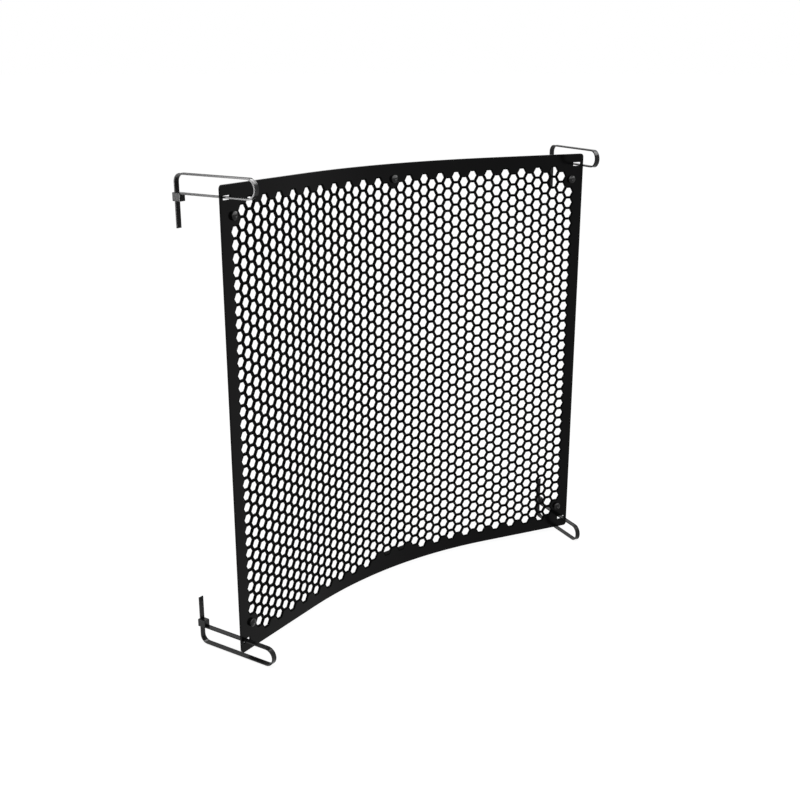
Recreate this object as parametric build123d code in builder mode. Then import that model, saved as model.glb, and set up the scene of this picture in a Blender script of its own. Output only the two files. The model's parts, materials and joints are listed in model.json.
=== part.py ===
from build123d import *
import os
from math import cos, floor, radians, sin, sqrt

# A motorcycle radiator guard: a bowed sheet with hexagonal holes, five push-in rubber bumpers
# and four loose cable ties. Millimetres. X is to the right seen from the front, -Y is the front,
# Z is up. The origin is the middle of the top centre bumper's rear face, which meets the radiator.

# Perforated sheet, measured along its bow
panel_width = 328.4
panel_height = 303.9
sheet = 1.5
bend_radius = 308.7  # of the sheet's middle surface
wing_angle = 16.0  # slope of each flat wing, in degrees
corner_radius = 2.4
side_border = 6.8
top_border = 9.1
bottom_border = 8.5
hole_flats = 18.9  # one cell here is nine of the fine mesh, whose holes are 6.3 with a web of 1.7
web = 5.1

# Plain pad at the bottom centre, which cuts the nearest holes short
pad_height = 14.5
pad_columns = 1  # columns that it reaches, each side of the middle one

# Rubber bumpers
bumper_hole = 5.0
bumper_fit = 0.15  # between the neck and its hole, and under the nub
rest_gap = 0.02  # between the rest and the sheet
rest_diameter = 7.4
rest_length = 2.5
nub_diameter = 5.6
nub_length = 2.2
bumper_land = 4.0  # plain sheet kept round each bumper's axis
centre_bumper_inset = 10.4  # from the top edge
corner_bumper_inset = 18.7  # from the top or bottom edge
corner_bumper_side = 10.3  # from the side edge

# Cable ties and their slots
strap_width = 3.6
strap_thickness = 1.0
slot_length = 6.7
slot_height = 2.7
slot_side = 2.0  # from the slot's outer end to the side edge
slot_inset = 7.6  # from the slot's middle to the top or bottom edge
strap_fit = 0.15  # between the strap and the slot's outer end
loop_rise = 11.7  # between the middles of the strap's two runs
loop_front = 24.4  # reach before the sheet
loop_rear = 37.5  # reach behind the sheet
loop_corner = 5.0
tail_drop = 20.9
head_width = 4.6
head_depth = 6.2
head_height = 5.2
head_wall = 1.25  # behind the strap's window
window_fit = 0.1
# How far each strap lies above the middle of its slot
strap_lift = {"top_left": 0.3, "top_right": -0.5, "bottom_left": 0.5, "bottom_right": -0.5}

# Pattern of the holes, in upright columns
pitch = hole_flats + web
hole_radius = hole_flats / sqrt(3)
column_step = pitch * sqrt(3) / 2
half_width = panel_width / 2
side_columns = floor((half_width - side_border - hole_radius) / column_step)
top_z = centre_bumper_inset
bottom_z = top_z - panel_height
field_height = panel_height - top_border - bottom_border
field_z = (top_z - top_border + bottom_z + bottom_border) / 2
most_rows = floor((field_height - hole_flats) / pitch) + 1

# Bow of the sheet: small bends on the column lines, which add up to the arc between the wings
arc_half = radians(wing_angle) * bend_radius
side_bends = floor(arc_half / column_step + 0.5)
middle_y = -(rest_length + rest_gap + sheet / 2)

# Places along the sheet: distance from the middle, height
bumper_s = half_width - corner_bumper_side
slot_s = half_width - slot_side - slot_length / 2
strap_s = half_width - slot_side - strap_fit - strap_width / 2
bumper_places = {"top_centre": (0, 0)}
slot_places = []
tie_places = {}
for end, edge_z, up in (("top", top_z, 1), ("bottom", bottom_z, -1)):
    for side, hand in (("left", -1), ("right", 1)):
        bumper_places[f"{end}_{side}"] = (hand * bumper_s, edge_z - up * corner_bumper_inset)
        slot_places.append((hand * slot_s, edge_z - up * slot_inset))
        strap_z = edge_z - up * slot_inset + strap_lift[f"{end}_{side}"]
        tie_places[f"{end}_{side}"] = (hand * strap_s, strap_z, up)


def slope_at(s):
    """Slope of the arc, in radians, at the distance s along the sheet."""
    return max(-arc_half, min(arc_half, s)) / bend_radius


def slope_after(bend):
    """Slope of the flat that follows a bend, counted from the middle."""
    return slope_at((bend + 0.5) * column_step)


def sheet_point(s):
    """X and Y of the sheet's middle surface at the distance s from the middle."""
    hand = 1 if s > 0 else -1
    left = abs(s)
    x, y = 0, middle_y
    for bend in range(side_bends + 1):
        step = left if bend == side_bends else min(left, column_step)
        slope = slope_after(bend)
        x += step * cos(slope)
        y -= step * sin(slope)
        left -= step
    return hand * x, y


def sheet_plane(s, z):
    """Plane on the sheet's middle surface: x along the sheet, y up, z out of the front."""
    x, y = sheet_point(s)
    on_wing = abs(s) > side_bends * column_step
    slope = slope_at(half_width if s > 0 else -half_width) if on_wing else slope_at(s)
    return Plane((x, y, z), x_dir=(cos(slope), -sin(slope), 0), z_dir=(-sin(slope), -cos(slope), 0))


def face_points(depth):
    """Corners of the sheet's section at a depth behind its middle surface, left to right."""
    points = []
    for bend in range(-side_bends, side_bends + 1):
        x, y = sheet_point(bend * column_step)
        turn = slope_after(bend) - slope_after(bend - 1)
        slope = slope_after(bend) - turn / 2
        mitre = depth / cos(turn / 2)
        points.append((x + mitre * sin(slope), y + mitre * cos(slope)))
    for hand in (-1, 1):
        x, y = sheet_point(hand * half_width)
        slope = hand * slope_after(side_bends)
        points.insert(0 if hand < 0 else len(points), (x + depth * sin(slope), y + depth * cos(slope)))
    return points


def column_heights(column):
    """Heights of the holes in one column, clear of the bumpers."""
    rows = most_rows - (side_columns - column) % 2
    s = column * column_step
    reach = hole_flats / 2 + bumper_land
    heights = []
    for row in range(rows):
        z = field_z + (row - (rows - 1) / 2) * pitch
        if all((s - bs) ** 2 + (z - bz) ** 2 > reach**2 for bs, bz in bumper_places.values()):
            heights.append(z)
    return heights


# Bowed sheet with its holes, slots and bumper holes
with BuildPart() as guard_panel:
    with BuildSketch(Plane.XY.offset(bottom_z)):
        with BuildLine():
            Polyline(*face_points(-sheet / 2), *reversed(face_points(sheet / 2)), close=True)
        make_face()
    extrude(amount=panel_height)
    side_faces = guard_panel.faces().filter_by(Axis.Z, reverse=True).sort_by(Axis.X)
    side_edges = side_faces[0].edges() + side_faces[-1].edges()
    fillet(side_edges.filter_by(Plane.XY), corner_radius)
    for column in range(-side_columns, side_columns + 1):
        with BuildSketch(sheet_plane(column * column_step, 0).offset(sheet)):
            with Locations(*[(0, z) for z in column_heights(column)]):
                RegularPolygon(hole_radius, 6)
            if abs(column) <= pad_columns:
                with Locations((0, bottom_z + pad_height / 2)):
                    Rectangle(2 * hole_radius, pad_height, mode=Mode.SUBTRACT)
    for s, z in slot_places:
        with BuildSketch(sheet_plane(s, z).offset(sheet)):
            Rectangle(slot_length, slot_height)
    for s, z in bumper_places.values():
        with BuildSketch(sheet_plane(s, z).offset(sheet)):
            Circle(bumper_hole / 2)
    extrude(amount=-2 * sheet, mode=Mode.SUBTRACT)

# Push-in bumpers: a rest against the radiator, a neck through the sheet and a nub in front
neck_radius = bumper_hole / 2 - bumper_fit
nub_radius = nub_diameter / 2
rest_radius = rest_diameter / 2
nub_start = sheet + rest_gap + bumper_fit
nub_end = nub_start + nub_length
bumpers = {}
for place, (s, z) in bumper_places.items():
    seat = sheet_plane(s, z).offset(-sheet / 2 - rest_gap)
    with BuildPart() as bumper:
        with BuildSketch(Plane(seat.origin, x_dir=seat.x_dir, z_dir=-seat.y_dir)):
            with BuildLine():
                Polyline(
                    (0, -rest_length),
                    (rest_radius, -rest_length),
                    (rest_radius, 0),
                    (neck_radius, 0),
                    (neck_radius, nub_start),
                    (nub_radius, nub_start),
                    (nub_radius, nub_end),
                    (0, nub_end),
                    close=True,
                )
            make_face()
        revolve(axis=Axis(seat.origin, seat.z_dir))
    bumpers[place] = bumper

# Cable ties: the head's own run of strap goes forward through the slot and back over the sheet's
# edge, and its tail passes down through the window in the head
inner_low = strap_thickness / 2
inner_radius = (loop_rise - strap_thickness) / 2
front_centre = loop_front - loop_rise / 2
head_rear = loop_rear + strap_thickness / 2 + window_fit + head_wall
head_middle = head_rear - head_depth / 2
window_depth = strap_thickness + 2 * window_fit
window_width = strap_width + 2 * window_fit
root_end = head_rear - head_depth + strap_thickness
ties = {}
for place, (s, z, up) in tie_places.items():
    across = sheet_plane(s, z)
    loop_plane = Plane(across.origin, x_dir=-across.z_dir, z_dir=up * across.x_dir)
    with BuildPart() as tie:
        with BuildSketch(loop_plane):
            with Locations((head_middle, inner_low - head_height / 2)):
                Rectangle(head_depth, head_height)
        extrude(amount=head_width / 2, both=True)
        with BuildSketch(loop_plane):
            with Locations((loop_rear, inner_low - head_height / 2)):
                Rectangle(window_depth, 2 * head_height)
        extrude(amount=window_width / 2, both=True, mode=Mode.SUBTRACT)
        with BuildSketch(loop_plane):
            with BuildLine():
                through_run = Line((root_end, inner_low), (-front_centre, inner_low))
                front_bend = JernArc(through_run @ 1, through_run % 1, inner_radius, -180)
                return_run = Line(front_bend @ 1, (loop_rear - loop_corner, loop_rise - inner_low))
                rear_bend = JernArc(return_run @ 1, return_run % 1, loop_corner - inner_low, -90)
                Line(rear_bend @ 1, (loop_rear - inner_low, -tail_drop))
                offset(amount=strap_thickness, side=Side.RIGHT)
            make_face()
        extrude(amount=strap_width / 2, both=True)
    ties[place] = tie

# One file for each piece
os.makedirs("parts", exist_ok=True)
guard_panel.part.label = "guard_panel"
export_step(guard_panel.part, "parts/guard_panel.step")
for kind, pieces in (("bumper", bumpers), ("tie", ties)):
    for place, piece in pieces.items():
        name = f"{kind}_{place}"
        piece.part.label = name
        export_step(piece.part, f"parts/{name}.step")
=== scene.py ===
import json
from math import cos, floor, pi, radians, sin, sqrt

import bmesh
import bpy
from bpy.props import FloatProperty, FloatVectorProperty, IntProperty, PointerProperty
from bpy.types import Operator, Panel, PropertyGroup
from mathutils import Matrix, Vector

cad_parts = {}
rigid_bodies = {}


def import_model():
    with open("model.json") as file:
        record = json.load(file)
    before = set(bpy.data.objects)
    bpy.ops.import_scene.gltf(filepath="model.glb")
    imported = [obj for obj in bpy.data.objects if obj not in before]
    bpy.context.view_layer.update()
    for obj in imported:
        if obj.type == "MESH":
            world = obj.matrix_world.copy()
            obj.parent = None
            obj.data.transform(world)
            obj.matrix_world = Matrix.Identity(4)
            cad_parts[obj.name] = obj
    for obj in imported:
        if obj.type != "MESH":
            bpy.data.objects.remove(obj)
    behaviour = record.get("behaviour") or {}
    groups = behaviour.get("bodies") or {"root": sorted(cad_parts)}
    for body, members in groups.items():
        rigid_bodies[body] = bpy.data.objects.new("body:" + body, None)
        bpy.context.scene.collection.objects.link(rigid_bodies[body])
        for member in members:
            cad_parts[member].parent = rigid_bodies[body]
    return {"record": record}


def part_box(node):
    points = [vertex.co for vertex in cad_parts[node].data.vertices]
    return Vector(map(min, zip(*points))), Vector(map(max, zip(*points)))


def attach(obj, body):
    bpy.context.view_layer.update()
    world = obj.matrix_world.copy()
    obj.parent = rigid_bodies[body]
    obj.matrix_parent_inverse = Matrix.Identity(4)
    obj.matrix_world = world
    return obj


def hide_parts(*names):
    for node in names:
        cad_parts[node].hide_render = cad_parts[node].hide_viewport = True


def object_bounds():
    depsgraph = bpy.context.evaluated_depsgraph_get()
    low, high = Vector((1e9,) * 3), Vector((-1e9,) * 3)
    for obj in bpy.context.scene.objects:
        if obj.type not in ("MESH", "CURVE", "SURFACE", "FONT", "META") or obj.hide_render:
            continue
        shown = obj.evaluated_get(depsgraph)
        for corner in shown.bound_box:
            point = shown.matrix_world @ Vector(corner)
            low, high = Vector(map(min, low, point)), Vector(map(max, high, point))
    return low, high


bl_info = {
    "name": "Radiator guard",
    "version": (1, 0, 0),
    "blender": (4, 5, 0),
    "location": "3D View > Sidebar > Radiator guard",
    "description": "Mesh sheet, rubber bumpers, cable ties and studio of a motorcycle radiator guard",
    "category": "Object",
}

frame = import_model()
CAD_BOX = [list(corner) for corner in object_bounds()]
BODY = "root"
MM = 0.001
MERGE = 0.001 * MM  # vertices that lie nearer than this are one
RESTS = {m["name"]: m for m in frame["record"]["mounts"] if m["name"].startswith("rest_")}
CORNERS = [(end, side) for end in ("top", "bottom") for side in ("left", "right")]


# Properties that a user would change

def length(name, description, millimetres):
    """A length property, with its default in millimetres."""
    return FloatProperty(
        name=name, description=description, default=millimetres * MM, min=0.0, precision=5, unit="LENGTH"
    )


def angle(name, description, degrees):
    """An angle property, with its default in degrees."""
    return FloatProperty(name=name, description=description, default=radians(degrees), unit="ROTATION")


def share(name, description, value):
    """A property that goes from none to all."""
    return FloatProperty(
        name=name, description=description, default=value, min=0.0, max=1.0, subtype="FACTOR"
    )


def colour(name, description, value):
    """A colour property, with its default in linear light."""
    return FloatVectorProperty(
        name=name, description=description, default=value, size=3, min=0.0, max=1.0, subtype="COLOR"
    )


class SheetSettings(PropertyGroup):
    """Sizes and finish of the perforated sheet."""

    thickness: length("Thickness", "Thickness of the coated sheet", 1.5)
    bend_radius: length("Bend radius", "Radius of the bow, at the middle of the sheet", 308.7)
    wing_angle: angle("Wing angle", "Slope of the flat wings", 16.0)
    corner_radius: length("Corner radius", "Radius of the sheet's four corners", 2.4)
    pitch: length("Pitch", "Distance between the middles of neighbouring holes", 8.0)
    web: length("Web", "Width of the coated metal between two holes", 1.7)
    side_border: length("Side border", "Least plain metal beside the holes", 6.8)
    top_border: length("Top border", "Plain metal above the holes", 9.1)
    bottom_border: length("Bottom border", "Plain metal below the holes", 8.5)
    pad_width: length("Pad width", "Width of the plain pad at the bottom centre", 34.6)
    pad_height: length("Pad height", "Height of the plain pad above the bottom edge", 14.5)
    bumper_land: length("Bumper land", "Least distance from a bumper's axis to a hole's middle", 8.0)
    bumper_hole: length("Bumper hole", "Diameter of the holes that hold the bumpers", 5.0)
    slot_length: length("Slot length", "Length of the slots for the cable ties", 6.7)
    slot_height: length("Slot height", "Height of the slots for the cable ties", 2.7)
    slot_side: length("Slot side", "From a slot's outer end to the side edge", 2.0)
    slot_inset: length("Slot inset", "From a slot's middle to the top or bottom edge", 7.6)
    edge_round: length("Edge round", "Rounding of the cut edges under the coat", 0.14)
    coat: colour("Coat", "Darker tone of the powder coat", (0.0010, 0.0010, 0.0011))
    coat_light: colour("Light coat", "Lighter tone of the powder coat", (0.0024, 0.0024, 0.0025))
    border_gloss: share("Border gloss", "Specular level of the coat on the plain border", 0.066)
    web_gloss: share("Web gloss", "Specular level of the coat between the holes", 0.010)


class BumperSettings(PropertyGroup):
    """Sizes and finish of the rubber bumpers."""

    rest_diameter: length("Rest diameter", "Diameter of the rest against the radiator", 7.4)
    rest_length: length("Rest length", "Length of the rest behind the sheet", 2.5)
    neck_diameter: length("Neck diameter", "Diameter of the neck in the sheet's hole", 4.7)
    nub_gap: length("Nub gap", "Play of the neck along the sheet's hole", 0.17)
    nub_diameter: length("Nub diameter", "Diameter of the nub in front of the sheet", 5.6)
    nub_length: length("Nub length", "Length of the nub, its dome included", 2.2)
    nub_dome: length("Dome height", "Height of the nub's domed end", 0.8)
    dimple_diameter: length("Dimple diameter", "Diameter of the dimple in the dome", 1.5)
    dimple_depth: length("Dimple depth", "Depth of the dimple in the dome", 0.4)
    edge_round: length("Edge round", "Rounding of the moulded edges", 0.12)
    segments: IntProperty(name="Segments", description="Sides of the round shapes", default=40, min=8)
    rubber: colour("Rubber", "Darker tone of the rubber", (0.0010, 0.0010, 0.0010))
    rubber_light: colour("Light rubber", "Lighter tone of the rubber", (0.0022, 0.0022, 0.0022))
    gloss: share("Gloss", "Specular level of the rubber", 0.19)


class TieSettings(PropertyGroup):
    """Sizes and finish of the cable ties."""

    strap_width: length("Strap width", "Width of the strap", 3.6)
    strap_thickness: length("Strap thickness", "Thickness of the strap", 1.0)
    strap_side: length("Strap side", "From the strap's middle to the sheet's side edge", 3.95)
    groove_width: length("Groove width", "Width of the shallow groove in both faces of the strap", 2.2)
    groove_depth: length("Groove depth", "Depth of the groove", 0.13)
    tooth_pitch: length("Tooth pitch", "Distance between the strap's teeth", 1.1)
    tooth_height: length("Tooth height", "Height of the teeth in the inner groove", 0.1)
    loop_rise: length("Loop rise", "Distance between the strap's two runs", 11.7)
    loop_front: length("Loop front", "Reach of the loop before the sheet", 24.4)
    loop_rear: length("Loop rear", "Reach of the loop behind the sheet", 37.5)
    loop_corner: length("Loop corner", "Bend radius above the head", 5.0)
    tail_drop: length("Tail drop", "Reach of the tail beyond the slot", 20.9)
    head_width: length("Head width", "Width of the head", 4.6)
    head_depth: length("Head depth", "Depth of the head along the loop", 6.2)
    head_height: length("Head height", "Height of the head", 5.2)
    head_wall: length("Head wall", "Wall behind the window in the head", 1.25)
    window_fit: length("Window fit", "Clearance of the strap in the window", 0.1)
    edge_round: length("Edge round", "Chamfer of the strap's edges", 0.06)
    head_round: length("Head round", "Rounding of the head's edges", 0.25)
    nylon: colour("Nylon", "Darker tone of the nylon", (0.0030, 0.0030, 0.0032))
    nylon_light: colour("Light nylon", "Lighter tone of the nylon", (0.0050, 0.0050, 0.0052))
    gloss: share("Gloss", "Specular level of the nylon", 0.20)


class StageSettings(PropertyGroup):
    """Camera, floor and light."""

    lens: FloatProperty(
        name="Lens", description="Focal length on a 36 mm sensor", default=50.0, unit="CAMERA"
    )
    camera_place: FloatVectorProperty(
        name="Camera place",
        description="Where the camera stands",
        default=(-504.03 * MM, -593.97 * MM, 83.61 * MM),
        subtype="TRANSLATION",
        unit="LENGTH",
    )
    azimuth: angle("Azimuth", "Turn of the view about the upright axis", -40.827)
    elevation: angle("Elevation", "Height of the view above the horizon", 17.404)
    floor_radius: length("Floor radius", "Radius of the round floor", 20000.0)
    floor_colour: colour("Floor colour", "Colour of the floor as it lights the object", (0.8, 0.8, 0.8))
    floor_shade: colour("Floor shade", "Part of the seen floor that takes shadows", (0.18, 0.18, 0.18))
    floor_glow: share("Floor glow", "Part of the seen floor that is white in itself", 0.9)
    ambient: share("Ambient light", "Strength of the light from all round", 0.6)


# Helpers for modelling

def place_on_plane(s, z, turn=0.0):
    """Matrix that stands a flat shape up on the sheet's developed plane, at s along it and z up it."""
    return Matrix.Translation((s, 0.0, z)) @ Matrix.Rotation(pi / 2, 4, "X") @ Matrix.Rotation(turn, 4, "Z")


def add_rectangle(bm, width, height, matrix):
    """One rectangular face; returns its vertices."""
    size = Matrix.Diagonal((width, height, 1.0, 1.0))
    return bmesh.ops.create_grid(bm, x_segments=1, y_segments=1, size=0.5, matrix=matrix @ size)["verts"]


def add_wire(bm, points):
    """Straight edges from point to point; returns the new vertices and edges."""
    verts = [bm.verts.new(p) for p in points]
    return verts + [bm.edges.new(pair) for pair in zip(verts, verts[1:])]


def of_kind(geometry, kind):
    """The vertices, edges or faces in a mixed list."""
    return [g for g in geometry if isinstance(g, kind)]


def round_corners(bm, geometry, kind, offset, segments):
    """Rounds the given edges, or the vertices of a flat outline."""
    bmesh.ops.bevel(
        bm,
        geom=geometry,
        offset=offset,
        segments=segments,
        profile=0.5,
        affect=kind,
        material=-1,
        clamp_overlap=kind == "EDGES",
    )


def finish_piece(bm, name, node, materials, sharp):
    """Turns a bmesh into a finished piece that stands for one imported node."""
    for face in bm.faces:
        face.smooth = True
    for edge in bm.edges:
        if len(edge.link_faces) != 2:
            raise RuntimeError(f"{name} is not closed")
        edge.smooth = edge.calc_face_angle() < sharp
    mesh = bpy.data.meshes.new(name)
    bm.to_mesh(mesh)
    bm.free()
    for material in materials:
        mesh.materials.append(material)
    piece = bpy.data.objects.new(name, mesh)
    bpy.context.scene.collection.objects.link(piece)
    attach(piece, BODY)
    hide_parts(node)


class Bow:
    """Shape of the bowed sheet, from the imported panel's box and the sheet's settings."""

    def __init__(self, sheet):
        low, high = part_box("guard_panel")
        self.bottom, self.top = low.z, high.z
        self.radius = sheet.bend_radius
        self.arc_half = sheet.wing_angle * sheet.bend_radius
        rear_radius = sheet.bend_radius + sheet.thickness / 2
        wing = (high.x - rear_radius * sin(sheet.wing_angle)) / cos(sheet.wing_angle)
        self.half_width = self.arc_half + wing
        self.middle_y = high.y - sheet.thickness / 2

    def slope(self, s):
        """Slope of the sheet at the distance s along it."""
        return max(-self.arc_half, min(self.arc_half, s)) / self.radius

    def point(self, s, depth, z):
        """Point at the distance s along the sheet, at a depth behind its middle surface."""
        slope = self.slope(s)
        wing = s - slope * self.radius
        x = (self.radius + depth) * sin(slope) + wing * cos(slope)
        y = self.middle_y - self.radius + (self.radius + depth) * cos(slope) - wing * sin(slope)
        return Vector((x, y, z))

    def axes(self, s):
        """Directions along the sheet and out of its rear at the distance s."""
        slope = self.slope(s)
        return Vector((cos(slope), -sin(slope), 0.0)), Vector((sin(slope), cos(slope), 0.0))


# Materials

RELIEF_DEPTH = 0.1 * MM


def surface_grain():
    """Node group that gives fine grain and broad patches over a surface."""
    group = bpy.data.node_groups.new("surface_grain", "ShaderNodeTree")
    sockets = group.interface
    sockets.new_socket("Vector", in_out="INPUT", socket_type="NodeSocketVector")
    sockets.new_socket("Grain Scale", in_out="INPUT", socket_type="NodeSocketFloat")
    sockets.new_socket("Patch Scale", in_out="INPUT", socket_type="NodeSocketFloat")
    sockets.new_socket("Grain", in_out="OUTPUT", socket_type="NodeSocketFloat")
    sockets.new_socket("Patches", in_out="OUTPUT", socket_type="NodeSocketFloat")
    given = group.nodes.new("NodeGroupInput")
    result = group.nodes.new("NodeGroupOutput")
    for output, scale, detail in (("Grain", "Grain Scale", 3.0), ("Patches", "Patch Scale", 2.0)):
        noise = group.nodes.new("ShaderNodeTexNoise")
        noise.inputs["Detail"].default_value = detail
        group.links.new(given.outputs["Vector"], noise.inputs["Vector"])
        group.links.new(given.outputs[scale], noise.inputs["Scale"])
        group.links.new(noise.outputs["Fac"], result.inputs[output])
    return group


def black_finish(name, tones, grain, patches, roughness, bump, specular):
    """Material with two dark tones in patches, uneven roughness and a fine grain."""
    material = bpy.data.materials.new(name)
    material.use_nodes = True
    nodes, links = material.node_tree.nodes, material.node_tree.links
    shader = nodes["Principled BSDF"]
    shader.inputs["Specular IOR Level"].default_value = specular
    place = nodes.new("ShaderNodeTexCoord")
    surface = nodes.new("ShaderNodeGroup")
    surface.node_tree = bpy.data.node_groups.get("surface_grain") or surface_grain()
    surface.inputs["Grain Scale"].default_value = grain
    surface.inputs["Patch Scale"].default_value = patches
    links.new(place.outputs["Object"], surface.inputs["Vector"])
    tone = nodes.new("ShaderNodeMix")
    tone.data_type = "RGBA"
    tone.inputs["A"].default_value = (*tones[0], 1.0)
    tone.inputs["B"].default_value = (*tones[1], 1.0)
    links.new(surface.outputs["Patches"], tone.inputs["Factor"])
    links.new(tone.outputs["Result"], shader.inputs["Base Color"])
    gloss = nodes.new("ShaderNodeMapRange")
    gloss.inputs["To Min"].default_value = roughness[0]
    gloss.inputs["To Max"].default_value = roughness[1]
    links.new(surface.outputs["Patches"], gloss.inputs["Value"])
    links.new(gloss.outputs["Result"], shader.inputs["Roughness"])
    relief = nodes.new("ShaderNodeBump")
    relief.inputs["Strength"].default_value = bump
    relief.inputs["Distance"].default_value = RELIEF_DEPTH
    links.new(surface.outputs["Grain"], relief.inputs["Height"])
    links.new(relief.outputs["Normal"], shader.inputs["Normal"])
    return material


def powder_coat(name, sheet, specular):
    """Satin black powder coat of the sheet."""
    return black_finish(
        name,
        tones=(sheet.coat, sheet.coat_light),
        grain=1400.0,
        patches=60.0,
        roughness=(0.13, 0.20),
        bump=0.03,
        specular=specular,
    )


def moulded_rubber(bumper):
    """Slightly shiny moulded rubber of the bumpers."""
    return black_finish(
        "moulded_rubber",
        tones=(bumper.rubber, bumper.rubber_light),
        grain=2600.0,
        patches=300.0,
        roughness=(0.18, 0.26),
        bump=0.03,
        specular=bumper.gloss,
    )


def black_nylon(tie):
    """Smooth black nylon of the cable ties."""
    return black_finish(
        "black_nylon",
        tones=(tie.nylon, tie.nylon_light),
        grain=2200.0,
        patches=80.0,
        roughness=(0.20, 0.27),
        bump=0.006,
        specular=tie.gloss,
    )


def seen_directly(nodes, links):
    """Socket that is 1 for camera, glossy and transmission rays."""
    path = nodes.new("ShaderNodeLightPath")
    total = path.outputs["Is Camera Ray"]
    for ray in ("Is Glossy Ray", "Is Transmission Ray"):
        join = nodes.new("ShaderNodeMath")
        join.operation = "MAXIMUM"
        links.new(total, join.inputs[0])
        links.new(path.outputs[ray], join.inputs[1])
        total = join.outputs["Value"]
    return total


def pale_floor(stage):
    """Pale floor that is white to the eye and keeps a soft shadow."""
    material = bpy.data.materials.new("pale_floor")
    material.use_nodes = True
    nodes, links = material.node_tree.nodes, material.node_tree.links
    nodes.remove(nodes["Principled BSDF"])
    plain = nodes.new("ShaderNodeBsdfDiffuse")
    plain.inputs["Color"].default_value = (*stage.floor_colour, 1.0)
    shade = nodes.new("ShaderNodeBsdfDiffuse")
    shade.inputs["Color"].default_value = (*stage.floor_shade, 1.0)
    glow = nodes.new("ShaderNodeEmission")
    glow.inputs["Strength"].default_value = stage.floor_glow
    seen = nodes.new("ShaderNodeAddShader")
    links.new(shade.outputs["BSDF"], seen.inputs[0])
    links.new(glow.outputs["Emission"], seen.inputs[1])
    mix = nodes.new("ShaderNodeMixShader")
    links.new(seen_directly(nodes, links), mix.inputs["Fac"])
    links.new(plain.outputs["BSDF"], mix.inputs[1])
    links.new(seen.outputs["Shader"], mix.inputs[2])
    links.new(mix.outputs["Shader"], nodes["Material Output"].inputs["Surface"])
    return material


# Perforated sheet

SHEET_SHARP = radians(20.0)  # edges that turn by more stay sharp
CORNER_SEGMENTS = 6
BUMPER_HOLE_SEGMENTS = 24
ROW_TOLERANCE = 0.001  # keeps a row that just fits
WEB_COAT = 1  # place of the webs' coat among the sheet's materials


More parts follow.
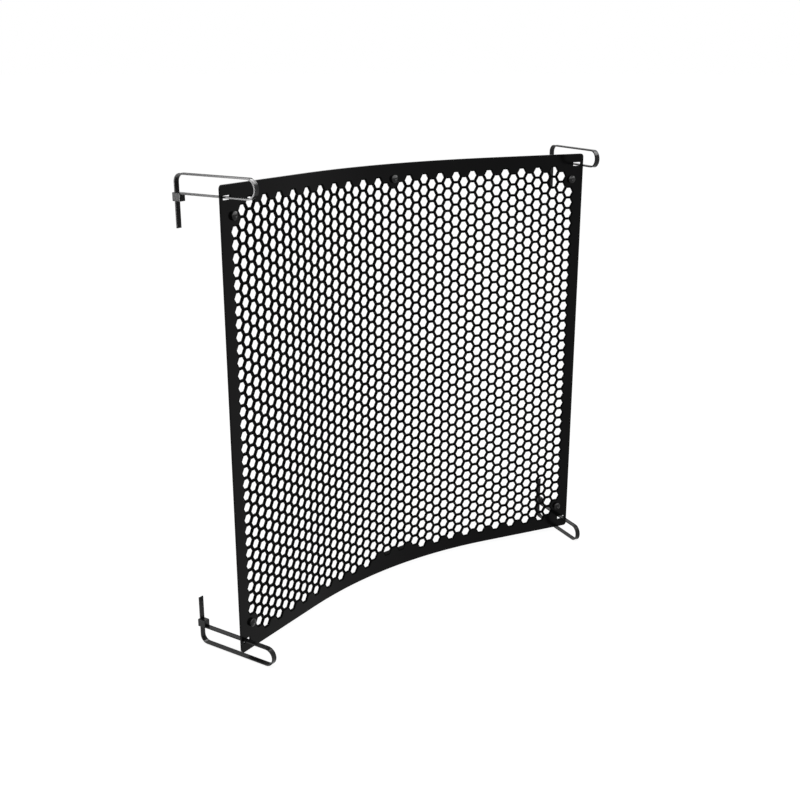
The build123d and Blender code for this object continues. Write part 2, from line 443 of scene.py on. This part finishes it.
class RADIATOR_GUARD_OT_sheet(Operator):
    """Make the bowed sheet with its hexagonal mesh"""

    bl_idname = "radiator_guard.sheet"
    bl_label = "Make the mesh sheet"

    def execute(self, context):
        sheet = context.scene.guard_sheet
        bow = Bow(sheet)
        bm = bmesh.new()
        self.draw_outlines(bm, sheet, bow)
        cells = self.add_cells(bm, sheet, bow)
        self.fill_border(bm)
        self.open_holes(bm, sheet, bow, cells)
        self.thicken(bm, sheet)
        for vert in bm.verts:
            vert.co = bow.point(vert.co.x, vert.co.y, vert.co.z)
        coats = [
            powder_coat("powder_coat", sheet, sheet.border_gloss),
            powder_coat("powder_coat_webs", sheet, sheet.web_gloss),
        ]
        finish_piece(bm, "mesh_sheet", "guard_panel", coats, SHEET_SHARP)
        return {"FINISHED"}

    def column_step(self, sheet):
        """Distance between neighbouring columns of holes."""
        return sheet.pitch * sqrt(3) / 2

    def draw_outlines(self, bm, sheet, bow):
        """Edge loops of the flat sheet: its outline, the slots and the holes for the bumpers."""
        middle_z = (bow.top + bow.bottom) / 2
        corners = add_rectangle(bm, 2 * bow.half_width, bow.top - bow.bottom, place_on_plane(0.0, middle_z))
        round_corners(bm, corners, "VERTICES", sheet.corner_radius, CORNER_SEGMENTS)
        slot_s = bow.half_width - sheet.slot_side - sheet.slot_length / 2
        for end, side in CORNERS:
            s = slot_s if side == "right" else -slot_s
            z = bow.top - sheet.slot_inset if end == "top" else bow.bottom + sheet.slot_inset
            add_rectangle(bm, sheet.slot_length, sheet.slot_height, place_on_plane(s, z))
        bmesh.ops.delete(bm, geom=bm.faces[:], context="FACES_ONLY")
        step = self.column_step(sheet)
        for edge in [e for e in bm.edges if e.calc_length() > 2 * step]:
            bmesh.ops.subdivide_edges(bm, edges=[edge], cuts=floor(edge.calc_length() / step))
        for s, z in self.bumper_places(bow):
            bmesh.ops.create_circle(
                bm, segments=BUMPER_HOLE_SEGMENTS, radius=sheet.bumper_hole / 2, matrix=place_on_plane(s, z)
            )

    def bumper_places(self, bow):
        """Distance along the sheet and height of each bumper's axis."""
        places = []
        for rest in RESTS.values():
            x, y, z = rest["pos_m"]
            hand = 0.0 if abs(x) < MM else x / abs(x)
            wing_start = bow.point(bow.arc_half, 0.0, z)
            reach = (Vector((abs(x), y, z)) - wing_start).dot(bow.axes(bow.half_width)[0])
            places.append((hand * (bow.arc_half + reach), z))
        return places

    def add_cells(self, bm, sheet, bow):
        """One hexagonal face for each hole, as wide as the pitch, joined to its neighbours."""
        step = self.column_step(sheet)
        hole_radius = (sheet.pitch - sheet.web) / sqrt(3)
        columns = floor((bow.half_width - sheet.side_border - hole_radius) / step)
        field = bow.top - bow.bottom - sheet.top_border - sheet.bottom_border
        field_z = (bow.top - sheet.top_border + bow.bottom + sheet.bottom_border) / 2
        half_rows = floor((field - sheet.pitch + sheet.web) / sheet.pitch + ROW_TOLERANCE)
        bumpers = self.bumper_places(bow)
        pad_top = bow.bottom + sheet.pad_height
        for column in range(-columns, columns + 1):
            for half_row in range(-half_rows, half_rows + 1):
                s, z = column * step, field_z + half_row * sheet.pitch / 2
                between_holes = (column + half_row) % 2 == 0
                near_bumper = any((s - bs) ** 2 + (z - bz) ** 2 < sheet.bumper_land**2 for bs, bz in bumpers)
                in_pad = z < pad_top and abs(s) < sheet.pad_width / 2
                if between_holes or near_bumper or in_pad:
                    continue
                bmesh.ops.create_circle(
                    bm,
                    cap_ends=True,
                    segments=6,
                    radius=sheet.pitch / sqrt(3),
                    matrix=place_on_plane(s, z, pi / 6),
                )
        cell_verts = [v for v in bm.verts if v.link_faces]
        bmesh.ops.remove_doubles(bm, verts=cell_verts, dist=MERGE)
        return bm.faces[:]

    def fill_border(self, bm):
        """Fills the plain border between the outlines and the field of cells."""
        edges = [e for e in bm.edges if len(e.link_faces) < 2]
        bmesh.ops.triangle_fill(bm, use_beauty=True, edges=edges, normal=(0.0, -1.0, 0.0))

    def open_holes(self, bm, sheet, bow, cells):
        """Opens a hole in each cell; the pad's top edge cuts the nearest holes short."""
        inset = bmesh.ops.inset_individual(bm, faces=cells, thickness=sheet.web / 2, use_even_offset=True)
        for web in inset["faces"]:
            web.material_index = WEB_COAT
        pad_top = bow.bottom + sheet.pad_height
        opened = []
        for cell in cells:
            middle = cell.calc_center_median()
            lowest = min(v.co.z for v in cell.verts)
            if abs(middle.x) < sheet.pad_width / 2 and lowest < pad_top:
                cut = bmesh.ops.bisect_plane(
                    bm,
                    geom=[cell, *cell.edges, *cell.verts],
                    plane_co=(0.0, 0.0, pad_top),
                    plane_no=(0.0, 0.0, 1.0),
                )
                parts = of_kind(cut["geom"], bmesh.types.BMFace)
                opened += [f for f in parts if f.calc_center_median().z > pad_top]
            else:
                opened.append(cell)
        bmesh.ops.delete(bm, geom=opened, context="FACES")

    def thicken(self, bm, sheet):
        """Gives the flat sheet its thickness and rounds its cut edges."""
        bmesh.ops.recalc_face_normals(bm, faces=bm.faces[:])
        made = bmesh.ops.extrude_face_region(bm, geom=bm.faces[:])["geom"]
        rear = of_kind(made, bmesh.types.BMVert)
        bmesh.ops.translate(bm, verts=rear, vec=(0.0, sheet.thickness, 0.0))
        bmesh.ops.translate(bm, verts=bm.verts[:], vec=(0.0, -sheet.thickness / 2, 0.0))
        bmesh.ops.recalc_face_normals(bm, faces=bm.faces[:])
        rims = [e for e in bm.edges if self.is_rim(e)]
        round_corners(bm, rims, "EDGES", sheet.edge_round, 1)

    def is_rim(self, edge):
        """True for an edge between the front or rear face and a cut wall."""
        facing = [abs(f.normal.y) > 0.5 for f in edge.link_faces]
        return facing[0] != facing[1]


# Rubber bumpers

BUMPER_SHARP = radians(20.0)  # edges that turn by more stay sharp
RIM_ANGLE = radians(55.0)  # outer edges that turn by more are rounded
RIM_SEGMENTS = 4
DOME_STEPS = 8
DIMPLE_STEPS = 4


class RADIATOR_GUARD_OT_bumpers(Operator):
    """Make the push-in rubber bumpers"""

    bl_idname = "radiator_guard.bumpers"
    bl_label = "Make the bumpers"

    def execute(self, context):
        bumper = context.scene.guard_bumper
        sheet = context.scene.guard_sheet
        material = moulded_rubber(bumper)
        for name, rest in RESTS.items():
            node = name.replace("rest_", "bumper_")
            bm = bmesh.new()
            self.turn(bm, bumper, sheet)
            front = -Vector(rest["axis"])
            seat = Matrix.Translation(rest["pos_m"]) @ front.to_track_quat("Z", "Y").to_matrix().to_4x4()
            bmesh.ops.transform(bm, matrix=seat, verts=bm.verts[:])
            finish_piece(bm, f"rubber_{node}", node, [material], BUMPER_SHARP)
        return {"FINISHED"}

    def turn(self, bm, bumper, sheet):
        """Turns the bumper's profile about its axis, with the rest's rear face at zero."""
        wire = add_wire(bm, [(r, 0.0, z) for r, z in self.profile(bumper, sheet)])
        bmesh.ops.spin(
            bm,
            geom=wire,
            cent=(0.0, 0.0, 0.0),
            axis=(0.0, 0.0, 1.0),
            angle=2 * pi,
            steps=bumper.segments,
            use_merge=True,
        )
        bmesh.ops.remove_doubles(bm, verts=bm.verts[:], dist=MERGE)
        bmesh.ops.recalc_face_normals(bm, faces=bm.faces[:])
        rims = [e for e in bm.edges if e.is_convex and e.calc_face_angle() > RIM_ANGLE]
        round_corners(bm, rims, "EDGES", bumper.edge_round, RIM_SEGMENTS)

    def profile(self, bumper, sheet):
        """Radius and height of the profile's points: rest, neck, nub, its dome and its dimple."""
        rest, neck, nub = bumper.rest_diameter / 2, bumper.neck_diameter / 2, bumper.nub_diameter / 2
        shoulder = bumper.rest_length + sheet.thickness + bumper.nub_gap
        tip = shoulder + bumper.nub_length
        dome = (nub**2 + bumper.nub_dome**2) / (2 * bumper.nub_dome)
        dimple = bumper.dimple_diameter / 2
        points = [(0.0, 0.0), (rest, 0.0), (rest, bumper.rest_length), (neck, bumper.rest_length)]
        points += [(neck, shoulder), (nub, shoulder)]
        for i in range(DOME_STEPS + 1):
            r = nub + (dimple - nub) * i / DOME_STEPS
            points.append((r, tip - dome + sqrt(dome**2 - r**2)))
        brim = points[-1][1]
        for i in range(1, DIMPLE_STEPS + 1):
            r = dimple * (1 - i / DIMPLE_STEPS)
            points.append((r, brim - bumper.dimple_depth * (1 - (r / dimple) ** 2)))
        return points


# Cable ties

TIE_SHARP = radians(12.0)  # edges that turn by more stay sharp
HEAD_SEGMENTS = 3


class RADIATOR_GUARD_OT_ties(Operator):
    """Make the cable ties with their loose loops"""

    bl_idname = "radiator_guard.ties"
    bl_label = "Make the cable ties"

    def execute(self, context):
        tie = context.scene.guard_tie
        bow = Bow(context.scene.guard_sheet)
        material = black_nylon(tie)
        for end, side in CORNERS:
            node = f"tie_{end}_{side}"
            bm = bmesh.new()
            self.sweep_strap(bm, tie)
            self.add_head(bm, tie)
            bmesh.ops.transform(bm, matrix=self.place(tie, bow, node, end, side), verts=bm.verts[:])
            finish_piece(bm, f"nylon_{node}", node, [material], TIE_SHARP)
        return {"FINISHED"}

    def place(self, tie, bow, node, end, side):
        """Matrix that sets a loop in its corner, its length to the rear and its height off the slot."""
        up = Vector((0.0, 0.0, 1.0 if end == "top" else -1.0))
        s = (bow.half_width - tie.strap_side) * (1.0 if side == "right" else -1.0)
        low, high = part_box(node)
        reach = tie.loop_rise + tie.strap_thickness / 2
        z = high.z - reach if end == "top" else low.z + reach
        rear = bow.axes(s)[1]
        loop = Matrix((rear, up.cross(rear), up)).transposed().to_4x4()
        loop.translation = bow.point(s, 0.0, z)
        return loop

    def head_rear(self, tie):
        """Reach of the head behind the sheet."""
        return tie.loop_rear + tie.strap_thickness / 2 + tie.window_fit + tie.head_wall

    def sweep_strap(self, bm, tie):
        """Sweeps the strap's section along the loop, from the head forward and back to its tail."""
        root = self.head_rear(tie) - tie.head_depth + tie.strap_thickness
        front_centre = tie.loop_front - tie.loop_rise / 2
        step = tie.tooth_pitch / 2
        station = bm.verts.layers.int.new("station")
        end = self.section(bm, tie, root, station)
        end = self.run(bm, end, Vector((-front_centre - root, 0.0, 0.0)), step)
        end = self.bend(bm, end, (-front_centre, 0.0, tie.loop_rise / 2), tie.loop_rise / 2, pi, step)
        end = self.run(bm, end, Vector((front_centre + tie.loop_rear - tie.loop_corner, 0.0, 0.0)), step)
        corner = (tie.loop_rear - tie.loop_corner, 0.0, tie.loop_rise - tie.loop_corner)
        end = self.bend(bm, end, corner, tie.loop_corner, pi / 2, step)
        self.run(bm, end, Vector((0.0, 0.0, -tie.tail_drop - tie.loop_rise + tie.loop_corner)), step)
        bmesh.ops.holes_fill(bm, edges=[e for e in bm.edges if e.is_boundary])
        bmesh.ops.recalc_face_normals(bm, faces=bm.faces[:])
        self.raise_teeth(bm, tie, station)
        bm.verts.layers.int.remove(station)

    def section(self, bm, tie, root, station):
        """The strap's section: a flat bar with a shallow groove in both faces, the inner one for teeth."""
        half, groove, face = tie.strap_width / 2, tie.groove_width / 2, tie.strap_thickness / 2
        top = [(half, face - tie.edge_round), (half - tie.edge_round, face)]
        top += [(groove, face), (groove - tie.groove_depth, face - tie.groove_depth)]
        top += [(-u, h) for u, h in reversed(top)]
        verts = [bm.verts.new((root, u, h)) for u, h in top + [(-u, -h) for u, h in top]]
        for vert in verts[3:5]:
            vert[station] = 1
        return bm.faces.new(verts)

    def raise_teeth(self, bm, tie, station):
        """Raises every other step of the inner groove into a tooth."""
        first = {f: min(v[station] for v in f.verts) for f in bm.faces}
        steps = sorted((f for f in first if first[f] % 2), key=first.get)
        for tooth in bmesh.ops.extrude_discrete_faces(bm, faces=steps)["faces"]:
            bmesh.ops.translate(bm, verts=tooth.verts[:], vec=tooth.normal * tie.tooth_height)

    def run(self, bm, face, way, step):
        """Extrudes a straight run in short steps and returns its end."""
        count = max(1, round(way.length / step))
        return self.advance(bm, face, Matrix.Translation(way / count), count)

    def bend(self, bm, face, centre, radius, turn, step):
        """Turns a bend in short steps and returns its end."""
        count = max(2, round(radius * turn / step))
        there = Matrix.Translation(centre)
        motion = there @ Matrix.Rotation(turn / count, 4, "Y") @ there.inverted()
        return self.advance(bm, face, motion, count)

    def advance(self, bm, face, motion, count):
        """Extrudes the section in equal steps, numbers the inner groove's corners and returns the end."""
        station = bm.verts.layers.int["station"]
        for _ in range(count):
            face = bmesh.ops.extrude_discrete_faces(bm, faces=[face])["faces"][0]
            bmesh.ops.transform(bm, matrix=motion, verts=face.verts[:])
            for vert in face.verts:
                if vert[station]:
                    vert[station] += 1
        return face

    def add_head(self, bm, tie):
        """The head: a rounded block with a window for the strap's tail."""
        top = tie.strap_thickness / 2
        window_depth = tie.strap_thickness + 2 * tie.window_fit
        window_width = tie.strap_width + 2 * tie.window_fit
        block = bmesh.new()
        middle = Matrix.Translation((self.head_rear(tie) - tie.head_depth / 2, 0.0, top))
        add_rectangle(block, tie.head_depth, tie.head_width, middle)
        add_rectangle(block, window_depth, window_width, Matrix.Translation((tie.loop_rear, 0.0, top)))
        bmesh.ops.delete(block, geom=block.faces[:], context="FACES_ONLY")
        bmesh.ops.bridge_loops(block, edges=block.edges[:])
        made = bmesh.ops.extrude_face_region(block, geom=block.faces[:])["geom"]
        bmesh.ops.translate(block, verts=of_kind(made, bmesh.types.BMVert), vec=(0.0, 0.0, -tie.head_height))
        bmesh.ops.recalc_face_normals(block, faces=block.faces[:])
        outside = (window_width + tie.head_width) / 4
        rims = [e for e in block.edges if all(abs(v.co.y) > outside for v in e.verts)]
        round_corners(block, rims, "EDGES", tie.head_round, HEAD_SEGMENTS)
        mesh = bpy.data.meshes.new("head_block")
        block.to_mesh(mesh)
        block.free()
        bm.from_mesh(mesh)
        bpy.data.meshes.remove(mesh)


# Stage

FLOOR_SEGMENTS = 64
WHITE = (1.0, 1.0, 1.0, 1.0)
# Name, place, target, size and power of each soft lamp, and the start of the names of the pieces
# that it lights, which is empty for the lamp that lights everything
LAMPS = (
    ("overhead", (-0.3, -0.5, 1.3), (0.0, -0.02, -0.14), (1.4, 1.4), 14.0, ""),
    ("ceiling", (0.0, -0.2, 0.6), (0.0, -0.2, 0.0), (5.0, 5.0), 400.0, "rubber"),
    ("left_card", (-1.05, 0.13, -0.08), (-0.157, -0.05, 0.0), (0.45, 0.36), 18.0, "nylon"),
    ("top_card", (0.378, -0.031, 0.469), (-0.15, -0.055, 0.01), (0.87, 0.22), 6.1, "nylon"),
)


class RADIATOR_GUARD_OT_stage(Operator):
    """Make the floor, the light and the camera"""

    bl_idname = "radiator_guard.stage"
    bl_label = "Make the stage"

    def execute(self, context):
        stage = context.scene.guard_stage
        self.add_floor(context, stage)
        self.add_lamps(context)
        self.set_world(context, stage)
        self.add_camera(context, stage)
        context.scene.view_settings.view_transform = "Standard"
        return {"FINISHED"}

    def add_floor(self, context, stage):
        """A plain round floor under the object."""
        bm = bmesh.new()
        place = Matrix.Translation((0.0, 0.0, CAD_BOX[0][2]))
        bmesh.ops.create_circle(
            bm, cap_ends=True, segments=FLOOR_SEGMENTS, radius=stage.floor_radius, matrix=place
        )
        mesh = bpy.data.meshes.new("floor")
        bm.to_mesh(mesh)
        bm.free()
        mesh.materials.append(pale_floor(stage))
        floor_object = bpy.data.objects.new("floor", mesh)
        context.scene.collection.objects.link(floor_object)

    def add_lamps(self, context):
        """Soft lamps: a broad one overhead, and cards that light only the bumpers or only the ties."""
        for name, place, target, size, power, lit in LAMPS:
            data = bpy.data.lights.new(name, "AREA")
            data.shape = "RECTANGLE"
            data.size, data.size_y = size
            data.energy = power
            lamp = bpy.data.objects.new(name, data)
            lamp.location = place
            lamp.rotation_euler = (Vector(target) - Vector(place)).to_track_quat("-Z", "Y").to_euler()
            context.scene.collection.objects.link(lamp)
            if lit:
                pieces = bpy.data.collections.new(f"{name}_lights")
                for piece in context.scene.objects:
                    if piece.name.startswith(lit):
                        pieces.objects.link(piece)
                lamp.light_linking.receiver_collection = pieces

    def set_world(self, context, stage):
        """Even light from all round, and white where it is seen directly."""
        world = bpy.data.worlds.new("studio")
        context.scene.world = world
        world.use_nodes = True
        nodes, links = world.node_tree.nodes, world.node_tree.links
        light = nodes["Background"]
        light.inputs["Color"].default_value = WHITE
        light.inputs["Strength"].default_value = stage.ambient
        white = nodes.new("ShaderNodeBackground")
        white.inputs["Color"].default_value = WHITE
        white.inputs["Strength"].default_value = 1.0
        mix = nodes.new("ShaderNodeMixShader")
        links.new(seen_directly(nodes, links), mix.inputs["Fac"])
        links.new(light.outputs["Background"], mix.inputs[1])
        links.new(white.outputs["Background"], mix.inputs[2])
        links.new(mix.outputs["Shader"], nodes["World Output"].inputs["Surface"])

    def add_camera(self, context, stage):
        """The camera, at the photograph's place and angle."""
        data = bpy.data.cameras.new("camera")
        data.lens = stage.lens
        camera = bpy.data.objects.new("camera", data)
        camera.location = stage.camera_place
        camera.rotation_euler = (pi / 2 - stage.elevation, 0.0, stage.azimuth)
        context.scene.collection.objects.link(camera)
        context.scene.camera = camera


# Sidebar

class RADIATOR_GUARD_PT_sidebar(Panel):
    """Buttons and settings of the radiator guard"""

    bl_idname = "RADIATOR_GUARD_PT_sidebar"
    bl_label = "Radiator guard"
    bl_space_type = "VIEW_3D"
    bl_region_type = "UI"
    bl_category = "Radiator guard"

    def draw(self, context):
        for operator in OPERATORS:
            self.layout.operator(operator.bl_idname)
        for name in SETTINGS:
            group = getattr(context.scene, name)
            box = self.layout.box()
            for key in group.__annotations__:
                box.prop(group, key)


OPERATORS = (
    RADIATOR_GUARD_OT_sheet,
    RADIATOR_GUARD_OT_bumpers,
    RADIATOR_GUARD_OT_ties,
    RADIATOR_GUARD_OT_stage,
)
SETTINGS = {
    "guard_sheet": SheetSettings,
    "guard_bumper": BumperSettings,
    "guard_tie": TieSettings,
    "guard_stage": StageSettings,
}


def register():
    """Registers the classes and their settings."""
    for cls in (*SETTINGS.values(), *OPERATORS, RADIATOR_GUARD_PT_sidebar):
        bpy.utils.register_class(cls)
    for name, cls in SETTINGS.items():
        setattr(bpy.types.Scene, name, PointerProperty(type=cls))


def unregister():
    """Removes the settings and the classes."""
    for name in SETTINGS:
        delattr(bpy.types.Scene, name)
    for cls in reversed((*SETTINGS.values(), *OPERATORS, RADIATOR_GUARD_PT_sidebar)):
        bpy.utils.unregister_class(cls)


def main():
    """Makes every piece and the stage."""
    register()
    bpy.ops.radiator_guard.sheet()
    bpy.ops.radiator_guard.bumpers()
    bpy.ops.radiator_guard.ties()
    bpy.ops.radiator_guard.stage()


if __name__ == "__main__":
    main()
